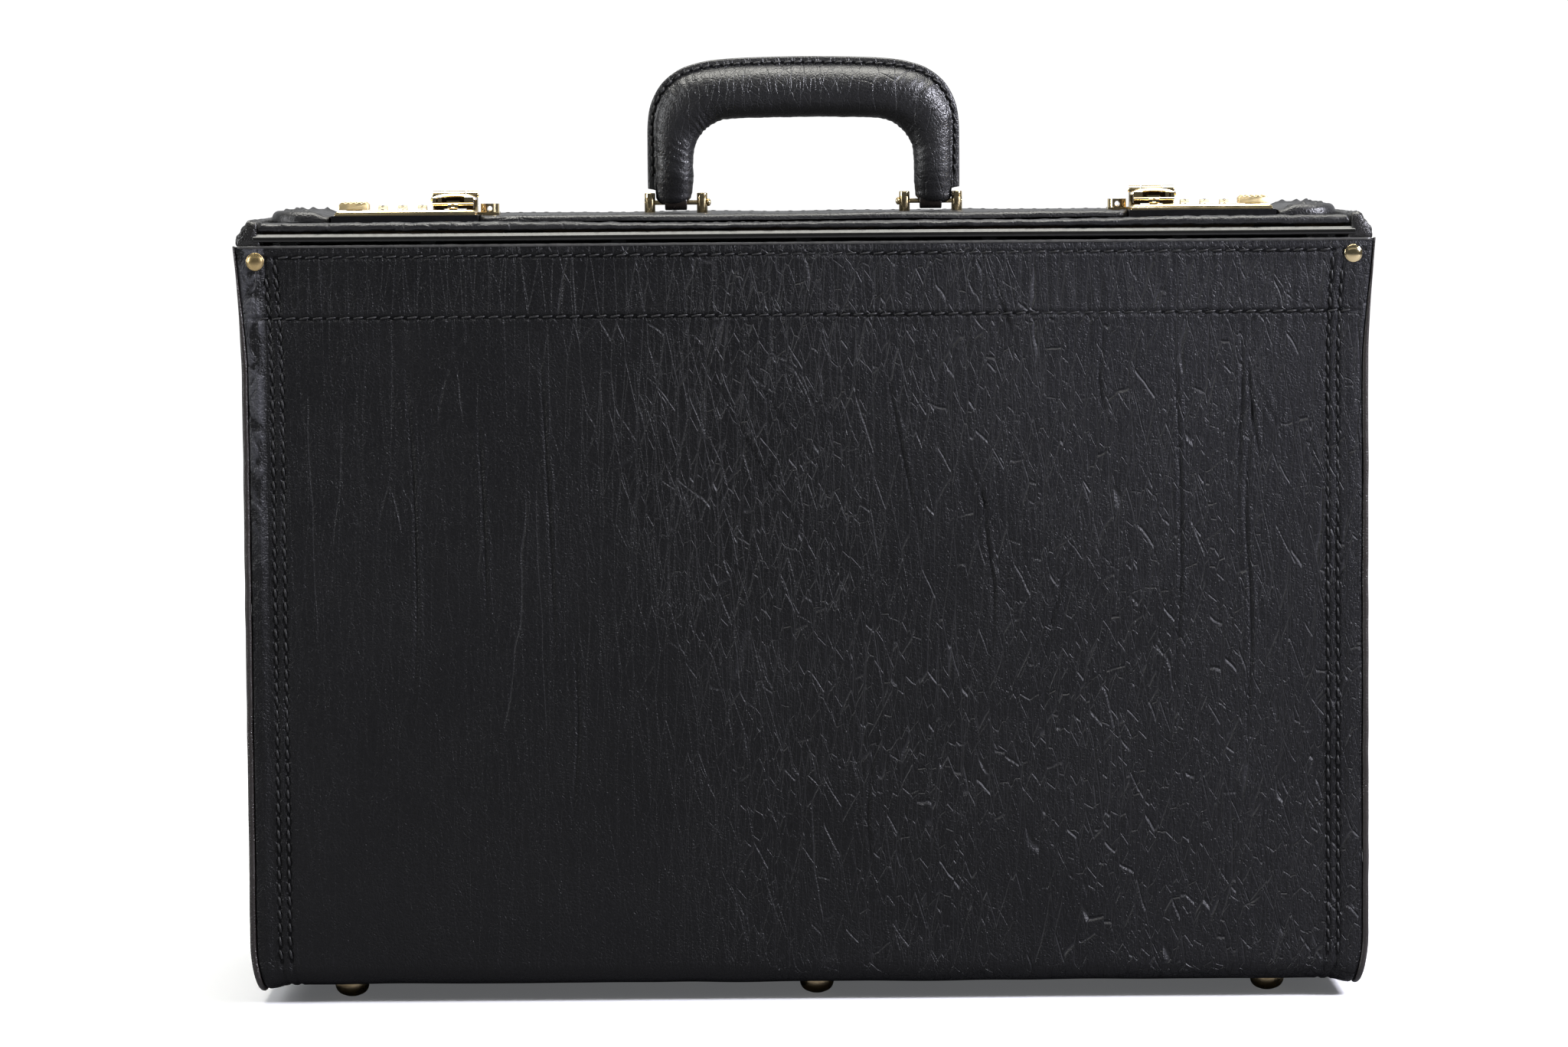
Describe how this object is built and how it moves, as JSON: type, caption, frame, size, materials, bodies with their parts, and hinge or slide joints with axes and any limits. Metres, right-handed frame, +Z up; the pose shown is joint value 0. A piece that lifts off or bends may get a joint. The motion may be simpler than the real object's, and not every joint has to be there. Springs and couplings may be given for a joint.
{
  "type": "briefcase",
  "caption": "Boxy black leather pilot briefcase with two top lids, a padded flap with carrying handle, combination locks with flip hasps, gold fittings and dome feet",
  "frame": {"origin": "on the floor under the middle of the case, between the feet", "axes": "+X along the length to the case's right seen from the front, +Y from the front panel to the back panel, +Z up"},
  "size_m": [0.456, 0.168, 0.3804],
  "materials": {
    "leather_black": "grained, semi-gloss",
    "leather_trim": "smooth",
    "lining_cloth": "matt",
    "board": "matt",
    "gold": "polished",
    "gold_satin": "satin",
    "black_metal": "gloss",
    "steel": "satin",
    "dial_ivory": "gloss"
  },
  "bodies": {
    "case": {"outer_wrap": "leather_black", "rim_bead_left": "leather_trim", "rim_bead_right": "leather_trim", "side_gusset_left": "leather_black", "side_gusset_right": "leather_black", "front_board": "board", "back_board": "board", "bottom_board": "board", "side_board_left": "board", "side_board_right": "board", "wall_lining": "lining_cloth", "floor_lining": "lining_cloth", "frame_rail_front": "black_metal", "frame_rail_rear": "black_metal", "hinge_rod_front": "black_metal", "hinge_rod_rear": "black_metal", "side_frame_left": "leather_trim", "side_frame_right": "leather_trim", "corner_caps": "leather_trim", "corner_rivets": "gold", "feet": "gold_satin", "foot_washers": "steel"},
    "front_lid": {"lid_board_front": "board", "lid_cover_front": "leather_black", "lid_lining_front": "lining_cloth", "hinge_clips_front": "black_metal", "lock_body_left": "black_metal", "lock_body_right": "black_metal", "lock_plate_left": "gold", "lock_plate_right": "gold", "dial_axles": "steel"},
    "rear_lid": {"lid_board_rear": "board", "lid_cover_rear": "leather_black", "lid_lining_rear": "lining_cloth", "hinge_clips_rear": "black_metal", "top_flap": "leather_black", "handle_posts": "gold", "handle_backing_plates": "steel", "handle_pins": "gold", "hasp_bracket_left": "gold", "hasp_bracket_right": "gold", "hasp_pins": "gold", "hasp_rivets": "gold"},
    "handle": {"handle_cover": "leather_black", "handle_core": "board", "handle_eyes": "gold_satin"},
    "hasp_left": {"hasp_left": "gold"},
    "hasp_right": {"hasp_right": "gold"},
    "slider_left": {"slider_left": "gold"},
    "slider_right": {"slider_right": "gold"},
    "dial_left_1": {"dial_left_1": "dial_ivory"},
    "dial_left_2": {"dial_left_2": "dial_ivory"},
    "dial_left_3": {"dial_left_3": "dial_ivory"},
    "dial_right_1": {"dial_right_1": "dial_ivory"},
    "dial_right_2": {"dial_right_2": "dial_ivory"},
    "dial_right_3": {"dial_right_3": "dial_ivory"}
  },
  "joints": [
    {"name": "rear_lid_hinge", "type": "hinge", "parent": "case", "child": "rear_lid", "pos_m": [0, 0.08, 0.3083], "axis": [-1, 0, 0], "range_deg": [0, 110]},
    {"name": "front_lid_hinge", "type": "hinge", "parent": "case", "child": "front_lid", "pos_m": [0, -0.08, 0.3083], "axis": [1, 0, 0], "range_deg": [0, 110]},
    {"name": "handle_pivot", "type": "hinge", "parent": "rear_lid", "child": "handle", "pos_m": [0, 0, 0.3204], "axis": [1, 0, 0], "range_deg": [-70, 70]},
    {"name": "hasp_left_hinge", "type": "hinge", "parent": "rear_lid", "child": "hasp_left", "pos_m": [-0.1425, -0.02, 0.3242], "axis": [-1, 0, 0], "range_deg": [0, 110]},
    {"name": "hasp_right_hinge", "type": "hinge", "parent": "rear_lid", "child": "hasp_right", "pos_m": [0.1425, -0.02, 0.3242], "axis": [-1, 0, 0], "range_deg": [0, 110]},
    {"name": "slider_left_slide", "type": "slide", "parent": "front_lid", "child": "slider_left", "axis": [-1, 0, 0], "range_m": [0, 0.004], "stiffness_N_per_m": 60},
    {"name": "dial_left_1_spin", "type": "hinge", "parent": "front_lid", "child": "dial_left_1", "pos_m": [-0.155, -0.0365, 0.315], "axis": [1, 0, 0], "continuous": true},
    {"name": "dial_left_2_spin", "type": "hinge", "parent": "front_lid", "child": "dial_left_2", "pos_m": [-0.163, -0.0365, 0.315], "axis": [1, 0, 0], "continuous": true},
    {"name": "dial_left_3_spin", "type": "hinge", "parent": "front_lid", "child": "dial_left_3", "pos_m": [-0.171, -0.0365, 0.315], "axis": [1, 0, 0], "continuous": true},
    {"name": "slider_right_slide", "type": "slide", "parent": "front_lid", "child": "slider_right", "axis": [1, 0, 0], "range_m": [0, 0.004], "stiffness_N_per_m": 60},
    {"name": "dial_right_1_spin", "type": "hinge", "parent": "front_lid", "child": "dial_right_1", "pos_m": [0.155, -0.0365, 0.315], "axis": [1, 0, 0], "continuous": true},
    {"name": "dial_right_2_spin", "type": "hinge", "parent": "front_lid", "child": "dial_right_2", "pos_m": [0.163, -0.0365, 0.315], "axis": [1, 0, 0], "continuous": true},
    {"name": "dial_right_3_spin", "type": "hinge", "parent": "front_lid", "child": "dial_right_3", "pos_m": [0.171, -0.0365, 0.315], "axis": [1, 0, 0], "continuous": true}
  ],
  "couplings": [
    {"joint": "front_lid_hinge", "follows": "rear_lid_hinge", "ratio": 1}
  ]
}
